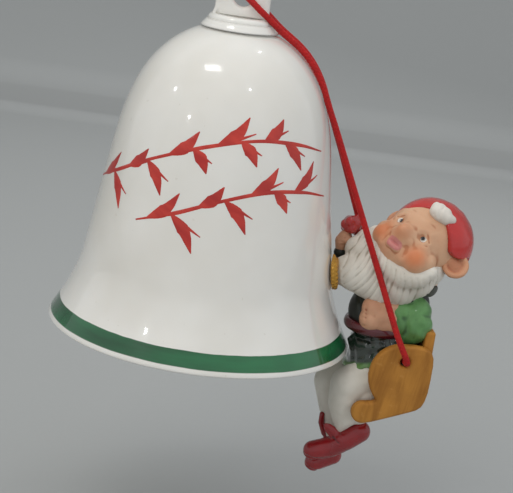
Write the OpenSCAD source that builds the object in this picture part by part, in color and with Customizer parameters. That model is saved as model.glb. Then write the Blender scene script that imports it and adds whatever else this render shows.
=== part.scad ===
// A porcelain bell ornament with a small painted figure that hangs beside it in a swing seat.
// Heights are counted from the bell's rim, then the model is lowered so that the hang hole is the origin.
// The bell's axis is Z. The figure sits on the +X side and faces the bell.

/* [Bell] */
// Outer radius of the bell at its rim
rim_r = 29; // [26:0.5:33]
// Height of the bell's dome above its rim
bell_h = 58.5; // [54:0.5:66]
// Outer radius of the straight part of the wall, carried down to the rim
waist_r = 25.7; // [23:0.1:28]
// How much the straight wall narrows for each millimetre of height
wall_taper = 0.15; // [0.12:0.01:0.18]
// Height over which the lip flares out
flare_h = 13; // [9:0.5:18]
// Height at which the shoulder starts to round over
shoulder_h = 29; // [24:0.5:34]
// Thickness of the porcelain
wall = 1.8; // [1.4:0.1:2.4]

/* [Crown] */
// Radius of the collar at its foot
collar_r = 7; // [6:0.1:8]
// Height of the collar above the dome
collar_h = 1.3; // [1:0.1:2]
// Width of the hanging loop
loop_w = 10; // [8:0.1:13]
// Thickness of the hanging loop
loop_t = 3.6; // [3:0.1:5]
// Radius of the hang hole
hang_r = 1.7; // [1.4:0.05:2.4]
// Height of the hang hole's centre above the top of the collar
hang_above_collar = 3.4; // [3:0.1:4]

/* [Clapper] */
// Radius of the wire of the clapper's rings and rod
wire_r = 0.35; // [0.3:0.05:0.5]
// Middle radius of the clapper's rings
ring_r = 1.5; // [1.3:0.05:2]
// Play between two linked wires
link_gap = 0.1; // [0.08:0.02:0.2]
// Radius of the clapper's bead
bead_r = 5; // [4:0.1:6]
// Height of the bead's centre above the rim
bead_h = 8.5; // [7:0.1:14]

/* [Seat] */
// Inside width of the seat, between its two sides
seat_inner_w = 14.4; // [13.8:0.1:17]
// Thickness of the seat's boards
board_t = 2; // [1.5:0.1:2.5]
// Radius of the cord holes in the seat's sides
cord_hole_r = 0.95; // [0.85:0.05:1.2]
// Distance of the seat's cord holes beyond the bell's rim
seat_gap = 9.4; // [9.4:0.1:14]
// Height of the seat's cord holes above the rim
seat_z = 1; // [0.6:0.1:2]
// Turn of the seat about the vertical, towards the front
seat_yaw = 5; // [4:0.5:6]

/* [Figure] */
// Radius of the figure's skull
skull_r = 7.5; // [6.5:0.1:8]
// Radius of the torso at the belly
belly_r = 5.2; // [4.6:0.1:5.4]
// Radius of the thighs
thigh_r = 3.5; // [3:0.1:3.6]
// Radius of the shoes
shoe_r = 2.1; // [1.8:0.1:2.4]
// Radius of the gold band on the beard's tip
band_r = 3.3; // [2.8:0.1:3.6]

/* [Cord] */
// Diameter of the braided cord
cord_d = 1.2; // [0.9:0.1:1.4]
// Radius of the knots inside the seat
knot_r = 1.1; // [1:0.05:1.2]

/* [Hidden] */

flare = rim_r - waist_r;
flare_power = 1.7;
shoulder_power = 3.8;
dome_top_t = 0.995;

loop_z = bell_h + collar_h;
hang_z = loop_z + hang_above_collar;
hang_mouth = 0.9;

eyelet_z = bell_h - wall - ring_r - 0.6;
link_step = 2 * wire_r + link_gap;
ring_z = eyelet_z - 2 * ring_r + link_step;
rod_loop_z = ring_z - 2 * ring_r + link_step;
rod_end_z = bead_h - bead_r - 1.6;

seat_x = rim_r + seat_gap;
side_v = seat_inner_w / 2;
arm_r = 6;
arm_u = -0.4;
arm_w = -2.4;
scroll_r = 2.15;
scroll_u = -6.5;
scroll_w = -10.65;
rear_u = 5.4;
back_top = 5.8;
back_foot = -8;
base_slope = 21;

// The head rests on the beard, so its centre rises with the skull. Its turned axes run to its left, up
// through its crown and forward through its face.
head_c = [1.9, 0, 14.4 + skull_r];
head_up = [0.696, 0.337, 0.634];
head_fwd = [-0.312, -0.654, 0.69];
head_left = cross(head_up, head_fwd);
cap_c = head_c + [0.5, 0, -0.6] + 0.5 * head_up;
brim_slope = 16;

// Routes of the cord, each point as [x, y, height above the rim]. The first crosses the loop's hole.
loop_route = [[0.8, 1.1, 63.2], [0.7, 0, 63.2], [0.8, -1.1, 63.2]];
// From the hole's mouth down over the shoulder, on the near side. The far side mirrors it.
shoulder_route = [
  [0.9, -1.4, 63.2], [1.2, -2.2, 63], [2.1, -3, 62.4], [3.4, -3.3, 61.4], [4.9, -3.1, 60.3],
  [6.5, -2.8, 59], [8.1, -2.5, 57.8], [9.8, -2.4, 56.7], [11.5, -2.4, 55.5], [13.1, -2.5, 54.1],
  [14.6, -2.7, 52.4], [15.9, -2.9, 50.5], [17, -3.1, 48.5], [17.8, -3.3, 46.6]
];
// From just under the shoulder down to the knot inside the seat, for each strand.
near_route = [
  [18, -3.4, 46.2], [20.2, -3.9, 41.7], [22.3, -4.5, 37.2], [24.4, -5.1, 32.7], [26.5, -5.7, 28.2],
  [28.6, -6.4, 23.7], [30.7, -7.2, 19.2], [32.8, -8.1, 14.7], [34.8, -9.2, 10.4], [36.6, -10.3, 6.6],
  [37.9, -11, 4.2], [38.8, -11.1, 2.6], [39.3, -10.6, 1.5], [39.3, -9.6, 1.1], [39.2, -8.4, 1], [39, -7.1, 1]
];
far_route = [
  [18, 3.4, 46.2], [20, 3.9, 41.7], [22, 4.5, 37.2], [23.9, 5.1, 32.7], [25.8, 5.7, 28.2],
  [27.7, 6.4, 23.7], [29.6, 7.2, 19.2], [31.5, 8.1, 14.7], [33.3, 9.2, 10.4], [34.9, 10.3, 6.6],
  [36.1, 11, 4.2], [37, 11.1, 2.6], [37.5, 10.6, 1.5], [37.6, 9.6, 1.1], [37.7, 8.4, 1], [37.8, 7.1, 1]
];
CORD_SIDES = 8;

white_glaze = "whitesmoke";
oak = "goldenrod";
skin = "peachpuff";
scarlet = "firebrick";

// Outer radius of the bell at height z: a tapering wall, a flared lip and a rounded shoulder.
function shoulder_t(z) = max(0, (z - shoulder_h) / (bell_h - shoulder_h));
function flare_t(z) = max(0, 1 - z / flare_h);
function bell_r(z) =
  (waist_r - wall_taper * z + flare * pow(flare_t(z), flare_power))
  * sqrt(max(0, 1 - pow(shoulder_t(z), shoulder_power)));

// Heights bunch up towards the top, where the shoulder turns over.
function bell_z(t) = bell_h * (1 - pow(1 - t, 1.8));
bell_steps = 40;
function outer_point(i) =
  let(z = bell_z(dome_top_t * i / bell_steps)) [bell_r(z), z];
function slope_at(z) = (bell_r(z + 0.01) - bell_r(max(0, z - 0.01))) / (z < 0.01 ? z + 0.01 : 0.02);
function inner_point(i) =
  let(z = bell_z(dome_top_t * i / bell_steps), s = slope_at(z), n = sqrt(1 + s * s))
    [max(0, bell_r(z) - wall / n), max(0, z + wall * s / n)];

module from_hang_hole() translate([0, 0, -hang_z]) children();

module in_seat()
  from_hang_hole() translate([seat_x, 0, seat_z]) rotate([0, 0, seat_yaw]) children();

function arc(c, r, from, to, n) =
  [for (i = [0 : n]) let(q = from + (to - from) * i / n) c + r * [cos(q), sin(q)]];

module ball(p, r) translate(p) sphere(r = r, $fn = 24);

// A smooth limb through a chain of balls, each given as [place, radius].
module limb(balls) {
  for (i = [0 : len(balls) - 2])
    hull() {
      ball(balls[i][0], balls[i][1]);
      ball(balls[i + 1][0], balls[i + 1][1]);
    }
}

module blob(balls)
  hull()
    for (b = balls) ball(b[0], b[1]);

module wire_ring(z, turn)
  translate([0, 0, z]) rotate([0, 0, turn]) rotate([90, 0, 0])
    rotate_extrude($fn = 48) translate([ring_r, 0]) circle(r = wire_r, $fn = 24);

// Ring of points round the cord at one point of its route.
function along(route, i) =
  let(a = route[max(0, i - 1)], b = route[min(len(route) - 1, i + 1)]) (b - a) / norm(b - a);
function across(t) = let(c = cross(t, abs(t[2]) < 0.9 ? [0, 0, 1] : [0, 1, 0])) c / norm(c);
function ring_points(route, i) =
  let(t = along(route, i), a = across(t), b = cross(t, a))
    [for (k = [0 : CORD_SIDES - 1])
      let(q = 360 * k / CORD_SIDES) route[i] + cord_d / 2 * (cos(q) * a + sin(q) * b)];

module cord_tube(route) {
  n = len(route);
  points = [for (i = [0 : n - 1]) each ring_points(route, i)];
  sides = [
    for (i = [0 : n - 2], k = [0 : CORD_SIDES - 1])
      let(m = (k + 1) % CORD_SIDES, p = i * CORD_SIDES, q = p + CORD_SIDES)
        each [[p + k, q + k, q + m], [p + k, q + m, p + m]]
  ];
  start = [for (k = [0 : CORD_SIDES - 1]) k];
  end = [for (k = [CORD_SIDES - 1 : -1 : 0]) (n - 1) * CORD_SIDES + k];
  polyhedron(points, concat(sides, [start, end]));
}

module bell_shell()
  color(white_glaze) from_hang_hole()
    rotate_extrude($fn = 120)
      polygon(concat(
        [for (i = [0 : bell_steps]) outer_point(i)],
        [[0, bell_h - 0.02], [0, bell_h - wall]],
        [for (i = [bell_steps - 1 : -1 : 0]) if (inner_point(i)[0] > 0.3) inner_point(i)]
      ));

// The collar stands on the dome and has a rounded top edge.
module crown_collar()
  color(white_glaze) from_hang_hole()
    rotate_extrude($fn = 96) {
      polygon([
        [0, bell_h - wall], [collar_r, bell_h - wall], [collar_r - 0.1, bell_h - 0.9],
        [collar_r - 0.9, loop_z - 1.1], [collar_r - 1.7, loop_z - 0.2], [0, loop_z - 0.2]
      ]);
      translate([0, loop_z - 1.6]) square([collar_r - 2.3, 1.6]);
      translate([collar_r - 2.3, loop_z - 0.9]) circle(r = 0.9, $fn = 48);
    }

module crown_loop()
  color(white_glaze) from_hang_hole()
    difference() {
      translate([0, loop_t / 2, 0]) rotate([90, 0, 0])
        linear_extrude(loop_t) {
          translate([0, hang_z]) circle(d = loop_w, $fn = 96);
          translate([-loop_w / 2, loop_z]) square([loop_w, hang_z - loop_z]);
        }
      translate([0, loop_t, hang_z]) rotate([90, 0, 0]) cylinder(r = hang_r, h = 2 * loop_t, $fn = 64);
      for (side = [-1, 1])
        translate([0, side * (loop_t / 2 - hang_mouth), hang_z]) rotate([-side * 90, 0, 0])
          cylinder(r1 = hang_r, r2 = hang_r + 2 * hang_mouth, h = 2 * hang_mouth, $fn = 64);
    }

module clapper_eyelet()
  color("silver") from_hang_hole() {
    wire_ring(eyelet_z, 0);
    translate([0, 0, eyelet_z + ring_r]) cylinder(r = wire_r, h = 1.6, $fn = 24);
  }

module clapper_ring()
  color("silver") from_hang_hole() wire_ring(ring_z, 90);

module clapper_rod()
  color("silver") from_hang_hole() {
    wire_ring(rod_loop_z, 0);
    translate([0, 0, rod_end_z]) cylinder(r = wire_r, h = rod_loop_z - ring_r - rod_end_z, $fn = 24);
  }

module clapper_bead()
  color("white") from_hang_hole()
    difference() {
      translate([0, 0, bead_h]) sphere(r = bead_r, $fn = 64);
      translate([0, 0, bead_h - bead_r - 1]) cylinder(r = wire_r, h = 2 * bead_r + 2, $fn = 24);
    }

module clapper_stop()
  color("silver") from_hang_hole()
    difference() {
      translate([0, 0, rod_end_z + 0.2]) cylinder(r = 1, h = bead_h - bead_r - rod_end_z - 0.2, $fn = 32);
      translate([0, 0, rod_end_z - 1]) cylinder(r = wire_r, h = bead_r, $fn = 24);
    }

module cord_in_loop()
  color("red") from_hang_hole() cord_tube(loop_route);

module cord_over_shoulder()
  color("red") from_hang_hole() {
    cord_tube(shoulder_route);
    mirror([0, 1, 0]) cord_tube(shoulder_route);
  }

module cord_near() color("red") from_hang_hole() cord_tube(near_route);
module cord_far() color("red") from_hang_hole() cord_tube(far_route);

module knot(side)
  color("red") in_seat() translate([0, side * (side_v - knot_r), 0]) sphere(r = knot_r, $fn = 32);
module knot_near() knot(-1);
module knot_far() knot(1);

// One closed line: the round top, the notch in front, the curl, the foot and the rear edge.
module side_outline()
  polygon(concat(
    arc([arm_u, arm_w], arm_r, 60, 223, 28),
    [[-4.3, -8.2]],
    arc([scroll_u, scroll_w], scroll_r, 70, 291, 18),
    [[rear_u - 2.4, -9.5], [rear_u - 0.6, -8.5], [rear_u, 1], [rear_u - 1, 2.6]]
  ));

// The cord hole runs along the seat's width and opens out at the outer face.
module seat_side(side)
  color(oak) in_seat()
    difference() {
      translate([0, side * (side_v + board_t / 2) + board_t / 2, 0]) rotate([90, 0, 0])
        linear_extrude(board_t) side_outline();
      translate([0, side * side_v - 3 * board_t, 0]) rotate([-90, 0, 0])
        cylinder(r = cord_hole_r, h = 6 * board_t, $fn = 48);
      translate([0, side * (side_v + board_t - hang_mouth), 0]) rotate([-side * 90, 0, 0])
        cylinder(r1 = cord_hole_r, r2 = cord_hole_r + 2 * hang_mouth, h = 2 * hang_mouth, $fn = 48);
    }
module seat_side_near() seat_side(-1);
module seat_side_far() seat_side(1);

module seat_board()
  color(oak) in_seat()
    translate([scroll_u, -side_v, scroll_w]) rotate([0, -base_slope, 0])
      translate([0, 0, -scroll_r / 2]) cube([10.4, seat_inner_w, board_t]);

module seat_back()
  color(oak) in_seat()
    translate([rear_u - board_t - 0.1, -side_v, back_foot])
      cube([board_t, seat_inner_w, back_top - back_foot]);

module trouser(side, knee, ankle)
  color("ivory") in_seat()
    limb([
      [[-0.8, side * 3.2, -5], thigh_r + 0.4],
      [knee, thigh_r],
      [ankle, thigh_r - 1]
    ]);
module trouser_near() trouser(-1, [-8.9, -3.5, -7.6], [-8.8, -3.5, -14]);
module trouser_far() trouser(1, [-10.9, 3.1, -9.4], [-9.4, 2, -18.4]);

module shoe_near()
  color(scarlet) in_seat()
    limb([
      [[-5.6, -3.6, -16.6], shoe_r], [[-9.8, -3.8, -19.9], shoe_r - 0.1], [[-13.9, -4, -21.2], shoe_r - 0.3]
    ]);
module shoe_far()
  color(scarlet) in_seat()
    limb([
      [[-9.2, 1.9, -21], shoe_r], [[-8.9, 1.6, -24], shoe_r - 0.3], [[-12.4, 1.2, -25.8], shoe_r - 0.3]
    ]);

module jacket_skirt()
  color("seagreen") in_seat()
    hull() {
      translate([-3.4, 0, 2.6]) cylinder(r = 5.4, h = 0.6, $fn = 48);
      translate([-3.4, 0, -2.8]) cylinder(r = 5.7, h = 0.6, $fn = 48);
    }

module jacket()
  color("darkslategray") in_seat()
    blob([[[-5.3, 0, 6.6], belly_r], [[-1.5, 0, 9.8], belly_r], [[-0.8, 0, 5.6], belly_r - 0.2]]);

module belt()
  color("maroon") in_seat()
    translate([-4.4, 0, 2.9]) difference() {
      cylinder(r = 6.5, h = 2.2, $fn = 64);
      translate([0, 0, -1]) cylinder(r = 5.4, h = 4.2, $fn = 64);
    }

module collar()
  color("dimgray") in_seat()
    blob([[[4, -1.4, 12.2], 1.3], [[2, 3, 12.4], 1.3], [[1, -2, 11.6], 1.3]]);

module sleeve_near()
  color("forestgreen") in_seat()
    limb([[[1.6, -2.6, 10.6], 2.6], [[1.7, -4, 5.4], 3], [[-1.4, -4.2, 6.2], 2.8]]);

module hand_near()
  color(skin) in_seat() blob([[[-4.2, -4.4, 6], 2.7], [[-6.9, -4.2, 5.4], 2.6]]);

module sleeve_far()
  color("forestgreen") in_seat() limb([[[-1.6, 3.8, 10.6], 2.6], [[-12, 4, 15.3], 1.6]]);

module hand_far()
  color(skin) in_seat() blob([[[-12.8, 4.1, 17], 1.5], [[-12.5, 4.1, 19], 1.6]]);

module brush_handle()
  color(oak) in_seat() limb([[[-12.7, 4.2, 14], 0.6], [[-12.3, 4.2, 21.4], 0.6]]);

module brush_head()
  color("crimson") in_seat() translate([-12.3, 4.2, 22.4]) sphere(r = 2.1, $fn = 48);

module beard()
  color("ivory") in_seat()
    difference() {
      blob([[[-1.6, -1.8, 15.6], 6], [[-5.4, -0.6, 17], 5.8], [[-9, 0.6, 17.4], 4], [[-10.4, -0.2, 13.8], 3.3]]);
      translate(head_c) sphere(r = skull_r - 0.4, $fn = 48);
    }

module beard_band()
  color("gold") in_seat()
    translate([-14.4, -0.2, 13.6]) rotate([0, 90 - 10, 0]) cylinder(r = band_r, h = 1.4, $fn = 64);

module head()
  color(skin) in_seat()
    blob([
      [head_c, skull_r],
      [head_c - 3.4 * head_up + 1.6 * head_fwd - 2.6 * head_left, 5],
      [head_c - 3.4 * head_up + 1.6 * head_fwd + 2.6 * head_left, 5]
    ]);

module ear(side)
  color(skin) in_seat()
    blob([
      [head_c + side * (skull_r + 0.2) * head_left - head_up, 2],
      [head_c + side * (skull_r + 0.9) * head_left + 0.6 * head_up - 0.4 * head_fwd, 1.9]
    ]);
module ear_near() ear(1);
module ear_far() ear(-1);

// The tuft lies on the forehead, just under the cap's edge.
module hair_tuft()
  color("white") in_seat()
    limb([
      [head_c + skull_r * (0.36 * head_up + 0.95 * head_fwd - 0.04 * head_left), 1.5],
      [head_c + skull_r * (0.48 * head_up + 0.84 * head_fwd + 0.4 * head_left), 1.4]
    ]);

module cap()
  color(scarlet) in_seat()
    difference() {
      translate(cap_c) sphere(r = skull_r + 0.7, $fn = 96);
      translate(head_c) sphere(r = skull_r - 0.4, $fn = 96);
      translate(head_c) multmatrix([
        [head_left[0], head_fwd[0], head_up[0], 0],
        [head_left[1], head_fwd[1], head_up[1], 0],
        [head_left[2], head_fwd[2], head_up[2], 0],
        [0, 0, 0, 1]
      ])
        rotate([brim_slope, 0, 0]) translate([-2 * skull_r, -2 * skull_r, 0.6 - 4 * skull_r])
          cube(4 * skull_r);
    }

bell_shell();
crown_collar();
crown_loop();
clapper_eyelet();
clapper_ring();
clapper_rod();
clapper_bead();
clapper_stop();
cord_in_loop();
cord_over_shoulder();
cord_near();
cord_far();
knot_near();
knot_far();
seat_side_near();
seat_side_far();
seat_board();
seat_back();
trouser_near();
trouser_far();
shoe_near();
shoe_far();
jacket_skirt();
jacket();
belt();
collar();
sleeve_near();
hand_near();
sleeve_far();
hand_far();
brush_handle();
brush_head();
beard();
beard_band();
head();
ear_near();
ear_far();
hair_tuft();
cap();
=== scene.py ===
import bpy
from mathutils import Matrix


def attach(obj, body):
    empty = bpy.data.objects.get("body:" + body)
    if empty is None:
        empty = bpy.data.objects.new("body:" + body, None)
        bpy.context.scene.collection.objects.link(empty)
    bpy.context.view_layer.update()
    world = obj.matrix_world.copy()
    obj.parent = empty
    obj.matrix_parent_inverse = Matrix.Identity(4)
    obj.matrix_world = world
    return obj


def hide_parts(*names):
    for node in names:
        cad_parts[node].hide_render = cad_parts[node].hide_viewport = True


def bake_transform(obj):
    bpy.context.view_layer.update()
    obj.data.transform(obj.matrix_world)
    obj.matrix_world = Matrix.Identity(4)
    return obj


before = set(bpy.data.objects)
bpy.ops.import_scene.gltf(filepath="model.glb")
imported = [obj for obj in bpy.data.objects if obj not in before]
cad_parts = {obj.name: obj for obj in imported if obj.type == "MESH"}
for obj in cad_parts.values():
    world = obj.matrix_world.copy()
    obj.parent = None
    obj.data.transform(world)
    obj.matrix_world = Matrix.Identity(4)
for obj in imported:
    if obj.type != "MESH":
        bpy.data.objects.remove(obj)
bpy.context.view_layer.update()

import math

import bmesh
import bpy
import numpy as np
from mathutils import Matrix, Vector
from mathutils.bvhtree import BVHTree

# Camera: a long lens a third of a metre away, a little above the bell's rim, and rolled so that the
# ornament leans as it does when it hangs from its stand.
MM = 0.001
rim_centre = Vector((0, 0, -63.2)) * MM
camera_roll = math.radians(7.7)
camera_above = math.radians(17.7)
camera_distance = 300 * MM
level_up = Vector((0, math.sin(camera_above), math.cos(camera_above)))
to_camera = Vector((0, -math.cos(camera_above), math.sin(camera_above)))
picture_right = math.cos(camera_roll) * Vector((1, 0, 0)) + math.sin(camera_roll) * level_up
picture_up = math.cos(camera_roll) * level_up - math.sin(camera_roll) * Vector((1, 0, 0))
aim = rim_centre + (11.06 * picture_right + 15.16 * picture_up) * MM
camera_place = rim_centre + camera_distance * to_camera
camera_data = bpy.data.cameras.new("camera")
camera_data.lens = 109.4
camera_data.sensor_width = 36
camera_data.clip_start = 0.01
camera = bpy.data.objects.new("camera", camera_data)
bpy.context.scene.collection.objects.link(camera)
backward = (camera_place - aim).normalized()
sideways = picture_up.cross(backward).normalized()
camera.matrix_world = Matrix.Translation(camera_place) @ Matrix(
    (sideways, backward.cross(sideways), backward)
).transposed().to_4x4()
bpy.context.scene.camera = camera

# Cord: one length of red braided cord, about 1.2 mm thick. It is knotted inside both sides of the seat
# and lies over the bell's shoulder and through the hang hole, so it carries the seat and the figure.
cord_d = 1.2
loop_route = [(0.8, 1.1, 63.2), (0.7, 0, 63.2), (0.8, -1.1, 63.2)]
shoulder_route = [
    (0.9, -1.4, 63.2), (1.2, -2.2, 63), (2.1, -3, 62.4), (3.4, -3.3, 61.4), (4.9, -3.1, 60.3),
    (6.5, -2.8, 59), (8.1, -2.5, 57.8), (9.8, -2.4, 56.7), (11.5, -2.4, 55.5), (13.1, -2.5, 54.1),
    (14.6, -2.7, 52.4), (15.9, -2.9, 50.5), (17, -3.1, 48.5), (17.8, -3.3, 46.6),
]
near_route = [
    (18, -3.4, 46.2), (20.2, -3.9, 41.7), (22.3, -4.5, 37.2), (24.4, -5.1, 32.7),
    (26.5, -5.7, 28.2), (28.6, -6.4, 23.7), (30.7, -7.2, 19.2), (32.8, -8.1, 14.7),
    (34.8, -9.2, 10.4), (36.6, -10.3, 6.6), (37.9, -11, 4.2), (38.8, -11.1, 2.6),
    (39.3, -10.6, 1.5), (39.3, -9.6, 1.1), (39.2, -8.4, 1), (39, -7.1, 1),
]
far_route = [
    (18, 3.4, 46.2), (20, 3.9, 41.7), (22, 4.5, 37.2), (23.9, 5.1, 32.7),
    (25.8, 5.7, 28.2), (27.7, 6.4, 23.7), (29.6, 7.2, 19.2), (31.5, 8.1, 14.7),
    (33.3, 9.2, 10.4), (34.9, 10.3, 6.6), (36.1, 11, 4.2), (37, 11.1, 2.6),
    (37.5, 10.6, 1.5), (37.6, 9.6, 1.1), (37.7, 8.4, 1), (37.8, 7.1, 1),
]
far_shoulder = [(x, -y, z) for x, y, z in shoulder_route]
cord_points = [
    rim_centre + Vector(p) * MM
    for p in far_route[::-1] + far_shoulder[::-1] + loop_route + shoulder_route + near_route
]


class Value:
    """A shader socket that takes part in Python arithmetic: each sum or product adds a Math node."""

    def __init__(self, finish, socket):
        self.finish = finish
        self.socket = socket

    def maths(self, operation, *terms):
        return self.finish.node("ShaderNodeMath", {"operation": operation}, dict(enumerate(terms)))

    def __add__(self, other):
        return self.maths("ADD", self, other)

    def __sub__(self, other):
        return self.maths("SUBTRACT", self, other)

    def __rsub__(self, other):
        return self.maths("SUBTRACT", other, self)

    def __mul__(self, other):
        return self.maths("MULTIPLY", self, other)

    def __truediv__(self, other):
        return self.maths("DIVIDE", self, other)

    __radd__ = __add__
    __rmul__ = __mul__

    def clamped(self):
        return self.finish.node(
            "ShaderNodeClamp", {}, {"Value": self, "Min": 0, "Max": 1}, "Result"
        )

    def step(self, low, high):
        """0 below low, 1 above high, and smooth between them."""
        return self.finish.node(
            "ShaderNodeMapRange",
            {"interpolation_type": "SMOOTHSTEP"},
            {"Value": self, "From Min": low, "From Max": high, "To Min": 0, "To Max": 1},
            "Result",
        )


class Finish:
    """One material: its nodes, and the shader whose plain sockets are set as it is made."""

    def __init__(self, name, **plain):
        self.material = bpy.data.materials.new(name)
        self.material.use_nodes = True
        self.tree = self.material.node_tree
        self.shader = self.tree.nodes["Principled BSDF"]
        for socket, value in plain.items():
            self.link(value, self.shader.inputs[socket.replace("_", " ")])
        self.place = self.node("ShaderNodeTexCoord", {}, {}, "Object")

    def node(self, kind, settings, inputs, output=0):
        made = self.tree.nodes.new(kind)
        for setting, value in settings.items():
            if setting == "stops":
                ramp = made.color_ramp.elements
                while len(ramp) < len(value):
                    ramp.new(0.5)
                for element, (position, colour) in zip(ramp, value):
                    element.position = position
                    element.color = colour
            else:
                setattr(made, setting, value)
        for key, value in inputs.items():
            self.link(value, made.inputs[key])
        return Value(self, made.outputs[output])

    def link(self, value, socket):
        if isinstance(value, Value):
            self.tree.links.new(value.socket, socket)
        elif socket.type == "RGBA":
            socket.default_value = colour(value)
        else:
            socket.default_value = value

    def coat(self, socket, value):
        self.link(value, self.shader.inputs[socket])

    def noise(self, scale, detail=3, place=None, roughness=0.5, distortion=0.0):
        return self.node(
            "ShaderNodeTexNoise",
            {},
            {
                "Vector": place or self.place,
                "Scale": scale,
                "Detail": detail,
                "Roughness": roughness,
                "Distortion": distortion,
            },
            "Fac",
        )

    def stretched(self, scale, turn=(0, 0, 0), centre=(0, 0, 0)):
        """Object coordinates counted from centre, turned, and stretched by scale."""
        return self.node(
            "ShaderNodeMapping",
            {"vector_type": "TEXTURE"},
            {"Vector": self.place, "Location": centre, "Rotation": turn, "Scale": scale},
        )

    def mix(self, amount, a, b):
        """Colour a where amount is 0 and colour b where it is 1."""
        return self.node(
            "ShaderNodeMix",
            {"data_type": "RGBA"},
            {0: amount, 6: a, 7: b},
            2,
        )

    def bump(self, height, distance):
        """Raises the surface by height times distance, which is in metres."""
        self.coat(
            "Normal",
            self.node("ShaderNodeBump", {}, {"Height": height, "Distance": distance, "Strength": 1.0}),
        )


def colour(rgb):
    """A colour given as three 0 to 255 screen values, as the linear colour that sockets take."""
    if len(rgb) == 4:
        return rgb
    linear = [((c / 255 + 0.055) / 1.055) ** 2.4 if c > 10 else c / 3295 for c in rgb]
    return (*linear, 1)


def show(name, bm, material):
    """Makes a bmesh into a smooth shaded object at the origin."""
    mesh = bpy.data.meshes.new(name)
    bm.to_mesh(mesh)
    bm.free()
    mesh.shade_smooth()
    shown = bpy.data.objects.new(name, mesh)
    shown.data.materials.append(material)
    bpy.context.scene.collection.objects.link(shown)
    return shown


def smooth_line(points, spacing):
    """Points at an even spacing on the smooth curve through the given points."""
    ends = [2 * points[0] - points[1], *points, 2 * points[-1] - points[-2]]
    fine = []
    for a, b, c, d in zip(ends, ends[1:], ends[2:], ends[3:]):
        for k in range(12):
            t = k / 12
            fine.append(
                0.5 * (2 * b + (c - a) * t + (2 * a - 5 * b + 4 * c - d) * t**2
                       + (3 * b - a - 3 * c + d) * t**3)
            )
    fine.append(points[-1].copy())
    lengths = np.cumsum([0] + [(q - p).length for p, q in zip(fine, fine[1:])])
    count = max(2, round(lengths[-1] / spacing))
    places = np.linspace(0, lengths[-1], count + 1)
    axes = [np.interp(places, lengths, [p[i] for p in fine]) for i in range(3)]
    return [Vector(p) for p in zip(*axes)], lengths[-1]


def braided_tube(name, points, diameter, spacing, strands, pitch, material):
    """A tube along the points, with two sets of yarns that cross over each other. Its UV map runs round
    the tube once and counts braid pitches along it."""
    line, length = smooth_line(points, spacing)
    sides = 8 * strands
    bm = bmesh.new()
    uv = bm.loops.layers.uv.new("braid")
    normal = (line[1] - line[0]).orthogonal().normalized()
    rings = []
    for i, centre in enumerate(line):
        along = (line[min(i + 1, len(line) - 1)] - line[max(i - 1, 0)]).normalized()
        normal = (normal - along * normal.dot(along)).normalized()
        binormal = along.cross(normal)
        turn = Matrix((normal, binormal, along)).transposed().to_4x4()
        ring = bmesh.ops.create_circle(
            bm, segments=sides, radius=diameter / 2, matrix=Matrix.Translation(centre) @ turn
        )["verts"]
        phase = 2 * math.pi * i * length / (len(line) - 1) / pitch
        for k, vertex in enumerate(ring):
            around = 2 * math.pi * k / sides * strands
            left = math.cos(around + phase * strands)
            right = math.cos(around - phase * strands)
            yarn = max(left, right)
            vertex.co = centre + (vertex.co - centre) * (0.9 + 0.1 * yarn)
        rings.append(ring)
    for i, (low, high) in enumerate(zip(rings, rings[1:])):
        for k in range(sides):
            after = (k + 1) % sides
            face = bm.faces.new((low[k], low[after], high[after], high[k]))
            corners = ((k, i), (k + 1, i), (k + 1, i + 1), (k, i + 1))
            for loop, (a, b) in zip(face.loops, corners):
                loop[uv].uv = (a / sides, b * length / (len(line) - 1) / pitch)
    bm.faces.new(rings[0][::-1])
    bm.faces.new(rings[-1])
    return show(name, bm, material), line, length


red_cord = Finish(
    "red_cord", Sheen_Weight=0.35, Sheen_Roughness=0.4, Sheen_Tint=(255, 120, 110)
)
braid = red_cord.node("ShaderNodeUVMap", {"uv_map": "braid"}, {})
yarn_lay = red_cord.node(
    "ShaderNodeMapping", {}, {"Vector": braid, "Scale": (60, 9, 1), "Rotation": (0, 0, 0.5)}
)
fibres = red_cord.noise(1, 4, yarn_lay, 0.6)
dye = red_cord.noise(700, 2)
shade = red_cord.mix(fibres.step(0.25, 0.75), (150, 8, 10), (206, 20, 18))
red_cord.coat("Base Color", red_cord.mix(dye.step(0.3, 0.8) * 0.4, shade, (122, 6, 12)))
red_cord.coat("Roughness", 0.55 + fibres * 0.3)
red_cord.bump(fibres, 0.00006)

cord, cord_line, cord_length = braided_tube(
    "hanging_cord", cord_points, cord_d * MM, 0.14 * MM, 4, 3.2 * MM, red_cord.material
)
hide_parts("cord_in_loop", "cord_over_shoulder", "cord_near", "cord_far")

# Knots: each end of the cord is tied in a small overhand knot inside the seat, so that it can't pull
# through the hole. The same cord, pulled tight and so a little thinner.
seat_x = 38.4
seat_z = 1
seat_yaw = math.radians(5)
knot_from_middle = 6.1
in_seat = (
    Matrix.Translation(rim_centre + Vector((seat_x, 0, seat_z)) * MM)
    @ Matrix.Rotation(seat_yaw, 4, "Z")
    @ Matrix.Scale(MM, 4)
)
for name, side in (("near", -1), ("far", 1)):
    turns = [2 * math.pi * k / 28 for k in range(29)]
    bight = [
        in_seat
        @ Vector((
            0.2 * (math.sin(t) + 2 * math.sin(2 * t)),
            side * (knot_from_middle - 0.26 * math.sin(3 * t)),
            0.2 * (math.cos(t) - 2 * math.cos(2 * t)),
        ))
        for t in turns
    ]
    knot, _, _ = braided_tube(
        "tied_knot_" + name, bight, 0.9 * MM, 0.1 * MM, 4, 2.4 * MM, red_cord.material
    )
    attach(knot, "cord_strands")
    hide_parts("knot_" + name)

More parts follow.
